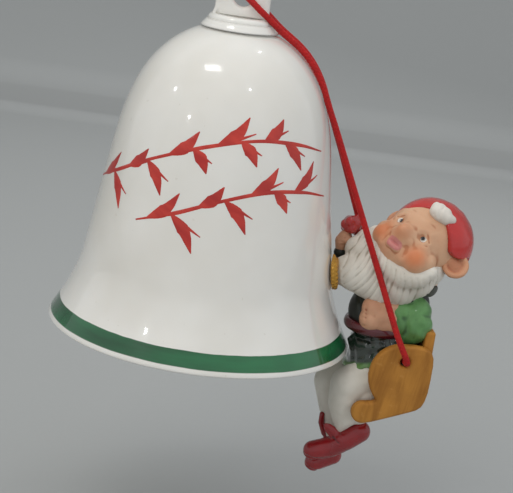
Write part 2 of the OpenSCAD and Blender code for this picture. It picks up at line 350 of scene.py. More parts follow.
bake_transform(cord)

# Bell: slip-cast porcelain, a little under 2 mm thick, with a thick white glaze and a green band painted
# by hand round the lip. It stands for the CAD shell, on the same profile, with the lip rounded over.
rim_r = 29
bell_h = 58.5
waist_r = 25.7
wall_taper = 0.15
flare_h = 13
flare_power = 1.7
shoulder_h = 29
shoulder_power = 3.8
wall = 1.8
band_foot = 0.95
band_top = 3.65


def bell_radius(z):
    """Outer radius of the bell, in millimetres, at a height above its rim."""
    flare = (rim_r - waist_r) * max(0, 1 - z / flare_h) ** flare_power
    over = max(0, (z - shoulder_h) / (bell_h - shoulder_h))
    return (waist_r - wall_taper * z + flare) * math.sqrt(max(0, 1 - over**shoulder_power))


def bell_slope(z):
    return (bell_radius(z + 0.01) - bell_radius(max(0, z - 0.01))) / (0.02 if z > 0.01 else z + 0.01)


def turned(name, profile, steps, material):
    """Turns a profile of (radius, height above the rim) round the bell's axis."""
    bm = bmesh.new()
    points = [bm.verts.new(rim_centre + Vector((r, 0, z)) * MM) for r, z in profile]
    edges = [bm.edges.new(pair) for pair in zip(points, points[1:])]
    bmesh.ops.spin(
        bm, geom=points + edges, cent=rim_centre, axis=(0, 0, 1), angle=2 * math.pi,
        steps=steps, use_merge=True, dvec=(0, 0, 0),
    )
    bmesh.ops.remove_doubles(bm, verts=bm.verts, dist=0.002 * MM)
    bmesh.ops.recalc_face_normals(bm, faces=bm.faces)
    return show(name, bm, material)


heights = [bell_h * (1 - (1 - 0.999 * i / 90) ** 1.8) for i in range(91)]
heights = [0.3] + [z for z in heights if z > 0.6]
outside = [Vector((bell_radius(z), z)) for z in heights] + [Vector((0, bell_h))]
inside = [Vector((0, bell_h - wall))]
for z in heights[::-1]:
    slope = bell_slope(z)
    across = math.hypot(1, slope)
    if bell_radius(z) - wall / across > 0.4 and z + wall * slope / across > 0.25:
        inside.append(Vector((bell_radius(z) - wall / across, z + wall * slope / across)))
lip_middle = (outside[0] + inside[-1]) / 2
half_lip = (outside[0] - inside[-1]) / 2
down_wall = Vector((half_lip.y, -half_lip.x)).normalized()
lip = []
for step in range(15):
    turn = math.pi * (step + 1) / 16
    squared = Vector((math.cos(turn), math.sin(turn)))
    squared = Vector([math.copysign(abs(a) ** 0.7, a) for a in squared])
    lip.append(lip_middle + half_lip * squared.x + down_wall * 0.45 * squared.y)
profile = lip[::-1] + outside + inside + [lip[-1]]

porcelain = Finish(
    "white_glaze", IOR=1.5, Coat_Weight=1.0, Coat_Roughness=0.03, Subsurface_Weight=0.12,
    Subsurface_Radius=(0.004, 0.0035, 0.003), Subsurface_Scale=0.5,
)
height = porcelain.node("ShaderNodeSeparateXYZ", {}, {0: porcelain.place}, "Z")
above_rim = (height - rim_centre.z) / MM
cloud = porcelain.noise(55, 3)
glaze = porcelain.mix(cloud.step(0.3, 0.75), (226, 223, 215), (236, 234, 228))
specks = porcelain.noise(900, 1).step(0.76, 0.8)
glaze = porcelain.mix(specks * 0.18, glaze, (186, 176, 158))
brush_edge = porcelain.noise(180, 2) * 0.3 - 0.15
banded = 1 - (above_rim + brush_edge - band_top).step(-0.05, 0.08)
banded = banded * (above_rim + brush_edge * 0.5 - band_foot).step(-0.08, 0.08)
strokes = porcelain.noise(260, 4, porcelain.stretched((8, 8, 1)))
green = porcelain.mix(strokes.step(0.3, 0.7), (14, 74, 40), (30, 112, 66))
pool = porcelain.noise(70, 2).step(0.5, 0.85)
green = porcelain.mix(pool * 0.5, green, (8, 50, 28))
porcelain.coat("Base Color", porcelain.mix(banded, glaze, green))
porcelain.coat("Roughness", 0.16 + cloud * 0.08 + banded * 0.06)
porcelain.bump(
    porcelain.noise(60, 2) * 0.6 + banded * 0.35 + porcelain.noise(600, 2) * 0.02, 0.00012
)
bell = turned("porcelain_bell", profile, 200, porcelain.material)
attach(bell, "bell")
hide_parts("bell_shell")

# Brushwork: two holly sprigs in red enamel, each a long slanting stem with leaves and berries. The
# enamel is fired on the glaze and stands a few hundredths of a millimetre above it.
enamel_lift = 0.045


def on_bell(around, z, lift):
    """The point on the bell at an angle, in degrees, and a height in millimetres above the rim."""
    slope = bell_slope(z)
    across = math.hypot(1, slope)
    r = bell_radius(z) + lift / across
    turn = math.radians(around)
    return rim_centre + Vector(
        (r * math.cos(turn), r * math.sin(turn), z - lift * slope / across)
    ) * MM


def brush_stroke(bm, places, widths):
    """One stroke through (angle, height) places, with its width, in millimetres, given at even steps."""
    line, length = smooth_line([Vector((a, z, 0)) for a, z in places], 0.7)
    grid = bmesh.ops.create_grid(bm, x_segments=len(line) - 1, y_segments=6, size=0.5)["verts"]
    for vertex in grid:
        t = min(1, max(0, vertex.co.x + 0.5))
        i = min(len(line) - 2, int(t * (len(line) - 1) + 1e-6))
        here = line[i].lerp(line[i + 1], t * (len(line) - 1) - i)
        per_degree = math.radians(1) * bell_radius(here.y)
        along = Vector(((line[i + 1] - line[i]).x * per_degree, (line[i + 1] - line[i]).y))
        aside = Vector((-along.y, along.x)).normalized()
        width = float(np.interp(t, np.linspace(0, 1, len(widths)), widths))
        off = vertex.co.y * 2
        around = here.x + aside.x * off * width / 2 / per_degree
        z = here.y + aside.y * off * width / 2
        vertex.co = on_bell(around, z, enamel_lift * (1 - off**4) - 0.01)


enamel = Finish("red_enamel", Coat_Weight=0.5, Coat_Roughness=0.12)
bristle = enamel.noise(500, 4, enamel.stretched((3, 3, 1), (0, 0.5, 0)))
pooled = enamel.noise(160, 2)
enamel_red = enamel.mix(bristle.step(0.3, 0.75), (176, 30, 20), (206, 58, 42))
enamel.coat("Base Color", enamel.mix(pooled.step(0.45, 0.8) * 0.6, enamel_red, (150, 22, 18)))
enamel.coat("Roughness", 0.28 + bristle * 0.2)
enamel.bump(bristle, 0.00003)
bm = bmesh.new()
upper_stem = [(-172, 27.5), (-150, 30.5), (-125, 34.8), (-98, 38.6), (-72, 40.6), (-48, 40.2), (-27, 38.6)]
lower_stem = [(-128, 23.5), (-108, 26.4), (-88, 29.6), (-66, 31.8), (-44, 31.8), (-24, 30.4)]
brush_stroke(bm, upper_stem, [0.35, 0.8, 0.6, 0.75, 0.6, 0.8, 0.25])
brush_stroke(bm, lower_stem, [0.3, 0.8, 0.65, 0.8, 0.7, 0.25])
sprigs = [
    (upper_stem, 10, 0.05, 0.80, 7.4),
    (lower_stem, 7, 0.06, 0.76, 7.8),
]
for stem, count, first, last, leaf_length in sprigs:
    line, _ = smooth_line([Vector((a, z, 0)) for a, z in stem], 0.5)
    for k in range(count):
        t = first + (last - first) * k / (count - 1)
        root = line[int(t * (len(line) - 1))]
        side = 1 if k % 2 == 0 else -1
        reach = leaf_length * (1 + 0.2 * math.sin(2.3 * k)) * (1 - 0.3 * t)
        per_degree = math.radians(1) * bell_radius(root.y)
        lean = 0.72 if side > 0 else 0.55
        tip = (root.x + lean * reach / per_degree, root.y + side * reach * 0.72)
        bend = (root.x + lean * 0.62 * reach / per_degree, root.y + side * reach * 0.3)
        brush_stroke(bm, [(root.x, root.y), bend, tip], [0.4, 1.6, 2.5, 1.7, 0.2])
        vein_tip = (root.x + lean * 1.25 * reach / per_degree, root.y + side * reach * 0.36)
        brush_stroke(bm, [(root.x, root.y), vein_tip], [0.3, 0.7, 0.2])
brushwork = show("red_brushwork", bm, enamel.material)
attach(brushwork, "bell")

# Crown: a ring of porcelain with a rounded edge, luted to the dome, and on it the flat loop that the
# ornament hangs by. Both are under the bell's own glaze.
collar_r = 7
collar_top = bell_h + 1.3
collar_profile = [
    (0, bell_h - 0.5), (collar_r + 0.35, bell_h - 1.05), (collar_r + 0.02, bell_h - 0.78),
    (collar_r - 0.25, bell_h - 0.42), (collar_r - 0.6, bell_h), (collar_r - 0.85, bell_h + 0.32),
]
for step in range(13):
    turn = math.radians(-20 + 110 * step / 12)
    collar_profile.append(
        (collar_r - 1.9 + 0.95 * math.cos(turn), collar_top - 0.95 + 0.93 * math.sin(turn))
    )
collar_profile += [(3.4, collar_top - 0.12), (0, collar_top - 0.12)]
crown = turned("crown_ring", collar_profile, 120, porcelain.material)
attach(crown, "bell")
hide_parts("crown_collar")


def cut_out(name, outline, holes, thickness, rounding, material, place):
    """A flat piece with rounded edges. Its outline and holes are in its own plane, place sets it down."""
    flat = bpy.data.curves.new(name, "CURVE")
    flat.dimensions = "2D"
    flat.fill_mode = "BOTH"
    for points in [outline, *holes]:
        spline = flat.splines.new("POLY")
        spline.points.add(len(points) - 1)
        for point, (a, b) in zip(spline.points, points):
            point.co = (a, b, 0, 1)
        spline.use_cyclic_u = True
    flat.extrude = thickness / 2 - rounding
    flat.bevel_depth = rounding
    flat.bevel_resolution = 5
    flat.offset = -rounding
    held = bpy.data.objects.new(name, flat)
    bpy.context.scene.collection.objects.link(held)
    bpy.context.view_layer.update()
    mesh = bpy.data.meshes.new_from_object(held.evaluated_get(bpy.context.evaluated_depsgraph_get()))
    bpy.data.objects.remove(held)
    bm = bmesh.new()
    bm.from_mesh(mesh)
    bpy.data.meshes.remove(mesh)
    bmesh.ops.remove_doubles(bm, verts=bm.verts, dist=0.0004)
    bmesh.ops.transform(bm, matrix=place, verts=bm.verts)
    bmesh.ops.recalc_face_normals(bm, faces=bm.faces)
    return show(name, bm, material)


def circle(centre, radius, steps=48, start=0.0, end=360.0):
    """Points on a circle, or on an arc of it, in degrees."""
    count = steps if end - start >= 360 else steps + 1
    turns = [math.radians(start + (end - start) * k / steps) for k in range(count)]
    return [(centre[0] + radius * math.cos(t), centre[1] + radius * math.sin(t)) for t in turns]


loop_w = 10
loop_t = 3.6
hang_r = 1.7
hole_above_foot = 4.2
loop_outline = (
    [(-loop_w / 2 - 1.1, 0), (loop_w / 2 + 1.1, 0), (loop_w / 2 + 0.35, 0.7), (loop_w / 2, 1.9)]
    + circle((0, hole_above_foot), loop_w / 2, 64, 0, 180)
    + [(-loop_w / 2, 1.9), (-loop_w / 2 - 0.35, 0.7)]
)
stand_up = (
    Matrix.Translation(Vector((0, 0, -hole_above_foot)) * MM)
    @ Matrix.Rotation(math.pi / 2, 4, "X")
    @ Matrix.Scale(MM, 4)
)
hang_loop = cut_out(
    "hang_loop", loop_outline, [circle((0, hole_above_foot), hang_r, 48)], loop_t, 0.95,
    porcelain.material, stand_up,
)
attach(hang_loop, "bell")
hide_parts("crown_loop")

# Clapper: a glazed bead on a steel wire, with one loose ring between the wire's loop and the eyelet set
# in the crown. A small turned stop under the bead keeps it on the wire.
ring_r = 1.5
wire_r = 0.35
eyelet_z = 54.6
ring_z = 52.4
rod_loop_z = 50.2
rod_end_z = 1.9
bead_r = 5
bead_z = 8.5

steel = Finish("steel_wire", Metallic=1.0)
drawn = steel.noise(900, 3, steel.stretched((1, 1, 12)))
tarnish = steel.noise(220, 3)
steel.coat("Base Color", steel.mix(tarnish.step(0.4, 0.8), (198, 196, 190), (142, 136, 124)))
steel.coat("Roughness", 0.22 + drawn * 0.2 + tarnish * 0.15)
steel.bump(drawn, 0.00002)


def wire(name, points, closed, replaced, body):
    """Bends a wire along points given as (x, y, height above the rim)."""
    bent = bpy.data.curves.new(name, "CURVE")
    bent.dimensions = "3D"
    bent.bevel_depth = wire_r * MM
    bent.bevel_resolution = 5
    bent.use_fill_caps = True
    spline = bent.splines.new("POLY")
    spline.points.add(len(points) - 1)
    for point, place in zip(spline.points, points):
        point.co = (*(rim_centre + Vector(place) * MM), 1)
    spline.use_cyclic_u = closed
    held = bpy.data.objects.new(name, bent)
    bpy.context.scene.collection.objects.link(held)
    bpy.context.view_layer.update()
    mesh = bpy.data.meshes.new_from_object(held.evaluated_get(bpy.context.evaluated_depsgraph_get()))
    bpy.data.objects.remove(held)
    bm = bmesh.new()
    bm.from_mesh(mesh)
    bpy.data.meshes.remove(mesh)
    bmesh.ops.remove_doubles(bm, verts=bm.verts, dist=0.001 * MM)
    bmesh.ops.recalc_face_normals(bm, faces=bm.faces)
    made = show(name, bm, steel.material)
    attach(made, body)
    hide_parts(replaced)
    return made


across_x = [(ring_r * math.sin(t), 0, ring_r * math.cos(t)) for t in np.linspace(0, 2 * math.pi, 49)]
eyelet_wire = [(0, 0, eyelet_z + ring_r + 1.4)] + [(x, y, eyelet_z + z) for x, y, z in across_x]
wire("eyelet_wire", eyelet_wire, False, "clapper_eyelet", "bell")
wire("loose_ring", [(y, x, ring_z + z) for x, y, z in across_x[:-1]], True, "clapper_ring", "clapper_link")
hook = [(-x, y, rod_loop_z - z) for x, y, z in across_x]
rod = [(0, 0, z) for z in np.linspace(rod_end_z, rod_loop_z - ring_r - 0.5, 24)]
wire("clapper_wire", rod + hook, False, "clapper_rod", "clapper")

bead_glaze = Finish("bead_glaze", Coat_Weight=1.0, Coat_Roughness=0.05)
mottle = bead_glaze.noise(300, 3)
bead_glaze.coat("Base Color", bead_glaze.mix(mottle.step(0.35, 0.75), (224, 219, 206), (240, 237, 229)))
bead_glaze.coat("Roughness", 0.2 + mottle * 0.15)
bead_glaze.bump(bead_glaze.noise(200, 2), 0.00008)
bead_profile = [
    (wire_r + 0.05 + (bead_r - wire_r) * math.sin(t), bead_z + bead_r * math.cos(t))
    for t in np.linspace(0, math.pi, 40)
]
bead = turned("clapper_ball", bead_profile + [bead_profile[0]], 72, bead_glaze.material)
stop_profile = [
    (wire_r, rod_end_z + 0.2), (0.75, rod_end_z + 0.2), (0.95, rod_end_z + 0.35), (1, rod_end_z + 0.6),
    (1, rod_end_z + 1.1), (0.94, rod_end_z + 1.35), (0.8, bead_z - bead_r - 0.01),
    (wire_r, bead_z - bead_r - 0.01), (wire_r, rod_end_z + 0.2),
]
stop = turned("clapper_nut", stop_profile, 40, steel.material)
for piece, node, slot in ((bead, "clapper_bead", "bead_glaze"), (stop, "clapper_stop", "steel_wire")):
    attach(piece, "clapper")
    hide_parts(node)

# Seat: two shaped sides, a sloping board and a back, cast with the figure and painted a golden wood
# brown. The cord comes in through a hole in each side.
seat_inner_w = 14.4
board_t = 2
cord_hole_r = 0.95
side_middle = seat_inner_w / 2 + board_t / 2
seat_wood = Finish("seat_brown", Specular_IOR_Level=0.35)
grain = seat_wood.noise(520, 5, seat_wood.stretched((1, 1, 7), (0, 0.12, 0)), 0.6, 0.4)
wash = seat_wood.noise(140, 4)
wood = seat_wood.mix(grain.step(0.3, 0.75), (186, 128, 52), (148, 96, 34))
wood = seat_wood.mix(wash.step(0.45, 0.85) * 0.6, wood, (132, 82, 30))
edge_wear = seat_wood.noise(900, 2).step(0.62, 0.8)
seat_wood.coat("Base Color", seat_wood.mix(edge_wear * 0.25, wood, (206, 154, 84)))
seat_wood.coat("Roughness", 0.5 + grain * 0.2)
seat_wood.bump(grain * 0.7 + wash * 0.6, 0.00009)
side_outline = (
    circle((-0.4, -2.7), 5.95, 24, 86, 178)
    + [(-6.45, -3.3), (-6.2, -4.8), (-5.65, -6.2), (-4.95, -7.3), (-4.4, -7.9), (-4.4, -8.3), (-4.9, -8.5),
       (-5.8, -8.6)]
    + circle((-6.45, -10.8), 2.15, 18, 82, 288)
    + [(-4.6, -12.55), (-1.0, -11.2), (2.2, -9.95), (3.6, -9.35), (4.5, -8.6), (5.0, -7.5), (5.35, -5.6),
       (5.45, -3), (5.45, -0.2), (5.3, 1.2), (4.9, 2.1), (4.2, 2.7), (3.1, 3.15), (1.6, 3.3)]
)
for name, side in (("near", -1), ("far", 1)):
    place = (
        in_seat
        @ Matrix.Translation(Vector((0, side * side_middle, 0)))
        @ Matrix.Rotation(math.pi / 2, 4, "X")
    )
    seat_side = cut_out(
        "seat_end_" + name, side_outline, [circle((0, 0), cord_hole_r, 32)], board_t, 0.62,
        seat_wood.material, place,
    )
    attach(seat_side, "figure")
    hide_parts("seat_side_" + name)


def plank(name, size, place, node):
    """A board with softened edges and a slight cup, cast in the seat."""
    bm = bmesh.new()
    bmesh.ops.create_cube(bm, size=1, matrix=Matrix.Diagonal((*size, 1)))
    bmesh.ops.bevel(
        bm, geom=bm.edges, offset=0.45, segments=4, profile=0.5, affect="EDGES", material=-1
    )
    for _ in range(2):
        longest = [e for e in bm.edges if e.calc_length() > 1.2]
        bmesh.ops.subdivide_edges(bm, edges=longest, cuts=5, use_grid_fill=True)
    for vertex in bm.verts:
        vertex.co.z += 0.1 * math.cos(1.3 * vertex.co.x) * math.sin(0.8 * vertex.co.y)
    bmesh.ops.transform(bm, matrix=in_seat @ place, verts=bm.verts)
    board = show(name, bm, seat_wood.material)
    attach(board, "figure")
    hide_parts(node)


plank(
    "seat_plank", (10.4, seat_inner_w, board_t),
    Matrix.Translation((-6.5, 0, -10.65)) @ Matrix.Rotation(math.radians(-21), 4, "Y")
    @ Matrix.Translation((5.2, 0, -0.1)),
    "seat_board",
)
plank(
    "seat_backrest", (board_t, seat_inner_w, 13.8), Matrix.Translation((4.35, 0, -1.1)), "seat_back"
)


# Figure: slip-cast porcelain, modelled as lumps of clay that run into each other, then painted and
# fired. Its pieces share the clay tools below, in the seat's own millimetres: u away from the bell,
# v across the seat and w up.
class Clay:
    """Balls of clay, each (place, size) or (place, three sizes, turn in degrees), joined in one skin."""

    def __init__(self, name, balls, grain=0.3, relax=6):
        bm = bmesh.new()
        for place, size, *turn in balls:
            size = (size,) * 3 if isinstance(size, (int, float)) else size
            angles = [math.radians(a) for a in (turn[0] if turn else (0, 0, 0))]
            turned_by = Matrix.Rotation(angles[2], 4, "Z") @ Matrix.Rotation(angles[1], 4, "Y")
            turned_by = turned_by @ Matrix.Rotation(angles[0], 4, "X")
            bmesh.ops.create_icosphere(
                bm, subdivisions=4, radius=1,
                matrix=Matrix.Translation(place) @ turned_by @ Matrix.Diagonal((*size, 1)),
            )
        mesh = bpy.data.meshes.new(name)
        bm.to_mesh(mesh)
        bm.free()
        held = bpy.data.objects.new(name, mesh)
        bpy.context.scene.collection.objects.link(held)
        skin = held.modifiers.new("skin", "REMESH")
        skin.mode = "VOXEL"
        skin.voxel_size = grain
        rubbed = held.modifiers.new("rubbed", "SMOOTH")
        rubbed.iterations = relax
        rubbed.factor = 0.5
        bpy.context.view_layer.update()
        graph = bpy.context.evaluated_depsgraph_get()
        self.mesh = bpy.data.meshes.new_from_object(held.evaluated_get(graph))
        bpy.data.objects.remove(held)
        self.name = name
        self.read()

    def read(self):
        count = len(self.mesh.vertices)
        self.at = np.empty(count * 3)
        self.mesh.vertices.foreach_get("co", self.at)
        self.at = self.at.reshape(-1, 3)
        self.out = np.empty(count * 3, np.float32)
        self.mesh.vertices.foreach_get("normal", self.out)
        self.out = self.out.reshape(-1, 3).astype(float)

    def write(self):
        self.mesh.vertices.foreach_set("co", self.at.ravel())
        self.mesh.update()
        self.read()

    def near(self, place, reach):
        """How much a touch at place is felt, from 1 at its middle to 0 at its reach."""
        away = np.linalg.norm(self.at - np.array(place), axis=1) / reach
        return np.clip(1 - away**2, 0, 1)[:, None] ** 2

    def push(self, place, reach, move):
        self.at += self.near(place, reach) * np.array(move)
        self.write()

    def swell(self, place, reach, amount):
        self.at += self.near(place, reach) * self.out * amount
        self.write()

    def groove(self, line, width, depth):
        """Draws a tool along the line: the clay sinks in the middle and rises a little on both sides."""
        points, _ = smooth_line([Vector(p) for p in line], width * 0.5)
        points = np.array([list(p) for p in points])
        away = np.full(len(self.at), 1e9)
        for start in range(0, len(points), 16):
            block = points[start:start + 16]
            gap = np.linalg.norm(self.at[:, None, :] - block[None], axis=2)
            away = np.minimum(away, gap.min(axis=1))
        x = away / width
        dip = np.exp(-x**2) - 0.35 * np.exp(-((x - 1.6) ** 2))
        self.at -= self.out * (dip * depth)[:, None]
        self.write()

    def on_skin(self, line, side):
        """Drops (u, w) points on to the skin from the near side, -1, or the far side, 1."""
        tree = BVHTree.FromPolygons(
            [Vector(p) for p in self.at], [tuple(f.vertices) for f in self.mesh.polygons]
        )
        found = []
        flat_line, _ = smooth_line([Vector((u, w, 0)) for u, w in line], 0.4)
        for u, w, _ in flat_line:
            hit = tree.ray_cast(Vector((u, side * 40, w)), Vector((0, -side, 0)))[0]
            if hit is not None:
                found.append(hit)
        return found

    def off_bell(self, gap):
        """Presses the clay back wherever it comes nearer to the bell's outside than the gap."""
        turn = np.array([[math.cos(seat_yaw), -math.sin(seat_yaw)], [math.sin(seat_yaw), math.cos(seat_yaw)]])
        flat = self.at[:, :2] @ turn.T + [seat_x, 0]
        height = self.at[:, 2] + seat_z
        away = np.linalg.norm(flat, axis=1)
        kept = np.array([bell_radius(max(0, z)) for z in height]) + gap
        short = np.clip(kept - away, 0, None) * np.clip(height + 1.6, 0, 1)
        self.at[:, :2] += (flat / away[:, None] * short[:, None]) @ turn
        self.write()

    def hollows(self):
        """Marks each point of the skin: above a half in a hollow, below a half on a ridge."""
        pairs = np.empty(len(self.mesh.edges) * 2, np.int32)
        self.mesh.edges.foreach_get("vertices", pairs)
        a, b = pairs.reshape(-1, 2).T
        count = np.bincount(np.concatenate([a, b]), minlength=len(self.at))[:, None]

        def average(values):
            total = np.zeros_like(values)
            np.add.at(total, a, values[b])
            np.add.at(total, b, values[a])
            return total / np.maximum(count, 1)

        broad = self.at
        for _ in range(4):
            broad = average(broad)
        bend = ((broad - self.at) * self.out).sum(axis=1)[:, None]
        for _ in range(2):
            bend = (bend + average(bend)) / 2
        spread = np.percentile(np.abs(bend), 90) + 1e-9
        mark = self.mesh.attributes.new("hollow", "FLOAT", "POINT")
        mark.data.foreach_set("value", np.clip(0.5 + 0.25 * bend / spread, 0, 1).ravel())

    def fire(self, finish, slot, *nodes):
        """Paints and fires the clay: the finished piece rides with the figure for its CAD nodes."""
        self.hollows()
        self.mesh.transform(in_seat)
        self.mesh.shade_smooth()
        self.mesh.materials.clear()
        self.mesh.materials.append(finish.material)
        piece = bpy.data.objects.new(self.name, self.mesh)
        bpy.context.scene.collection.objects.link(piece)
        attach(piece, "figure")
        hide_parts(*nodes)
        return piece


def roll(*balls):
    """A roll of clay through balls, each (place, size)."""
    rolled = []
    for (p, r), (q, s) in zip(balls, balls[1:]):
        steps = max(2, int((Vector(q) - Vector(p)).length / 0.5))
        for k in range(steps + 1):
            t = k / steps
            rolled.append((Vector(p).lerp(Vector(q), t), r + (s - r) * t))
    return rolled


def painted(name, light, blotch_and_shade, rough, blotch=150, grit=0.00002, **plain):
    """Brushed and fired colour in random patches, with painted shade that darkens the hollows of the skin;
    the ridges keep the lighter colour.
    """
    finish = Finish(name, **plain)
    hollow = finish.node("ShaderNodeAttribute", {"attribute_name": "hollow"}, {}, "Fac")
    patches = finish.noise(blotch, 4, None, 0.55, 0.6)
    # depth is random colour patches together with painted shade in the hollows, read from the hollow mark
    depth = (patches.step(0.3, 0.75) * 0.45 + hollow.step(0.52, 0.85) * 0.75).clamped()
    finish.tone = finish.mix(depth, light, blotch_and_shade)
    finish.hollow = hollow
    finish.coat("Base Color", finish.tone)
    finish.coat("Roughness", rough + patches * 0.12)
    finish.bump(finish.noise(1500, 2) * 0.5 + patches, grit)
    return finish


# Trousers: cream painted porcelain, baggy at the knee and drawn in to a pointed hem at the ankle.
cream = painted("trouser_cream", (228, 223, 212), (186, 178, 162), 0.45, 120)
near_leg = Clay("near_trouser", roll(
    ((-0.8, -3.2, -4.8), 3.7), ((-5.4, -3.4, -5.2), 3.7), ((-8.9, -3.5, -7.4), 3.6),
    ((-8.9, -3.6, -11.0), 3.4), ((-8.7, -3.7, -13.2), 2.7), ((-9.2, -3.8, -15.4), 1.4),
    ((-9.5, -3.9, -16.9), 0.5),
) + [((-5.4, -3.6, -8.2), 3.2), ((-6.2, -3.6, -12.4), 2.7)])
for fold in (
    [(-11.8, -9.2), (-9.6, -8.8), (-7.6, -9.4)], [(-4.5, -1.8), (-6.5, -4.2), (-10.6, -5.8)],
    [(-10.4, -15.0), (-9.2, -13.2), (-8.8, -11.4)],
):
    near_leg.groove(near_leg.on_skin(fold, -1), 0.7, 0.1)
near_leg.fire(cream, "trouser_cream", "trouser_near")
far_leg = Clay("far_trouser", roll(
    ((-0.8, 3.2, -4.8), 3.7), ((-6.5, 3.2, -6.0), 3.6), ((-11.1, 3.1, -9.2), 3.4),
    ((-10.6, 2.9, -12.6), 2.8), ((-9.8, 2.4, -16.5), 2.2), ((-9.4, 2.0, -19.4), 1.8),
))
for fold in ([(-13.8, -10.6), (-11.0, -9.8), (-8.0, -10.4)], [(-12.4, -15.0), (-10.6, -13.6), (-8.8, -14.2)]):
    far_leg.groove(far_leg.on_skin(fold, 1), 0.6, 0.14)
far_leg.fire(cream, "trouser_cream", "trouser_far")

# Shoes: slippers with broad tongues, under a thick dark red glaze, darkened along the seam of the sole by
# painted shade.
shoe_glaze = painted(
    "shoe_red", (150, 22, 28), (92, 10, 18), 0.2, 140, 0.00003, Coat_Weight=0.6, Coat_Roughness=0.12
)
near_shoe = Clay("near_shoe", roll(
    ((-5.4, -3.6, -16.6), 2.2), ((-7.6, -3.7, -18.3), 2.2), ((-10.4, -3.8, -20.2), 2.0),
    ((-13.9, -4, -21.2), 1.85),
) + [((-10.6, -4.4, -17.0), (1.05, 0.6, 2.5), (0, -50, 0)), ((-9.2, -4.6, -18.3), 1.2)], 0.2)
near_shoe.groove(near_shoe.on_skin(
    [(-3.6, -18.0), (-6.4, -20.2), (-9.4, -21.6), (-13.0, -22.3), (-15.4, -22.0)], -1), 0.3, 0.16)
near_shoe.groove(near_shoe.on_skin([(-12.0, -16.4), (-10.8, -17.6), (-9.4, -18.6)], -1), 0.22, 0.14)
near_shoe.fire(shoe_glaze, "shoe_red", "shoe_near")
far_shoe = Clay("far_shoe", roll(
    ((-9.2, 1.9, -21.0), 2.0), ((-8.9, 1.6, -24.0), 1.9), ((-12.4, 1.2, -25.7), 1.8),
) + roll(((-11.0, 1.8, -19.6), 0.8), ((-12.1, 1.4, -17.4), 0.65), ((-12.2, 1.2, -15.7), 0.6)), 0.2)
far_welt = [(-7.2, -25.0), (-9.6, -26.6), (-12.0, -27.0), (-14.0, -26.2)]
far_shoe.groove(far_shoe.on_skin(far_welt, -1), 0.28, 0.14)
far_shoe.fire(shoe_glaze, "shoe_red", "shoe_far")

# Jacket: a green coat with a skirt that flares over the thighs, and a dark red belt. The coat's green is
# painted near black as painted shade, and lighter on the hem as a painted highlight where the edge catches
# light.
# The skirt's near black is the jacket green with painted shade in it.
skirt_shade_and_hem_highlight = painted(
    "skirt_green", (44, 54, 46), (16, 22, 18), 0.16, 160, 0.00003, Coat_Weight=0.9, Coat_Roughness=0.05
)
flare = Vector((-0.423, 0, 0.906))
hem_side = in_seat.to_3x3().normalized() @ flare
above_hem = skirt_shade_and_hem_highlight.node(
    "ShaderNodeVectorMath", {"operation": "DOT_PRODUCT"}, {0: skirt_shade_and_hem_highlight.place, 1: hem_side}, "Value"
)
hem_line = (in_seat @ Vector((-4.6, 0, -0.9))).dot(hem_side)
above_hem = (above_hem - hem_line) / MM + skirt_shade_and_hem_highlight.noise(260, 3) * 0.8 - 0.4
# Painted highlight: the hem band is a lighter copy of the jacket green.
hem_highlight_green = skirt_shade_and_hem_highlight.mix(skirt_shade_and_hem_highlight.noise(200, 3).step(0.3, 0.7), (104, 146, 76), (62, 100, 48))
skirt_shade_and_hem_highlight.coat("Base Color", skirt_shade_and_hem_highlight.mix(1 - above_hem.step(-0.5, 0.3), skirt_shade_and_hem_highlight.tone, hem_highlight_green))
skirt = Clay("jacket_hem", [
    ((-4.0, 0, 3.2), (6.0, 5.7, 1.6)), ((-4.0, -0.2, 1.4), (6.0, 6.2, 2.2), (0, -12, 0)),
    ((-3.8, -0.4, -0.2), (6.4, 6.5, 1.9), (0, -25, 0)), ((-4.4, -0.4, -1.7), (6.5, 6.7, 1.1), (0, -25, 0)),
    ((-0.8, -3.0, 1.4), (4.2, 3.8, 2.2), (0, -20, 0)), ((-4.6, 0, 0.4), (5.6, 6.0, 2.8), (0, -18, 0)),
], 0.25, 22)
for fold in (
    [(-9.4, 1.2), (-8.8, -1.6), (-8.6, -4.0)], [(-6.6, 2.6), (-6.2, 0.2), (-6.6, -3.2)],
    [(-4.0, 2.8), (-3.4, 1.2), (-3.8, -1.0)],
):
    skirt.groove(skirt.on_skin(fold, -1), 0.6, 0.24)
    skirt.groove(skirt.on_skin(fold, 1), 0.6, 0.24)
skirt.off_bell(0.4)
skirt.fire(skirt_shade_and_hem_highlight, "jacket_green", "jacket_skirt")
# The body and far sleeve are painted near black: the jacket green with painted shade in it.
coat_green_in_shade = painted("jacket_green", (30, 36, 30), (12, 15, 12), 0.34, 170, Coat_Weight=0.15)
torso = Clay("jacket_body", [
    ((-5.4, 0, 6.9), (5.2, 5.2, 5.2)), ((-1.6, 0, 9.6), 5.1), ((-0.8, 0, 5.6), (5.0, 5.3, 5.2)),
    ((-0.4, -2.6, 11.0), 3.0), ((-0.4, 2.6, 11.4), 3.0), ((0.8, 0, 8.6), (4.0, 4.4, 4.6)),
])
torso.groove([(-10.6, 0, 8.4), (-10.6, 0, 6.4), (-10.0, 0, 4.6)], 0.3, 0.15)
torso.groove(torso.on_skin([(-9.4, 9.6), (-9.0, 7.4), (-8.4, 5.6)], -1), 0.4, 0.15)
torso.off_bell(0.5)
torso.fire(coat_green_in_shade, "jacket_green", "jacket")
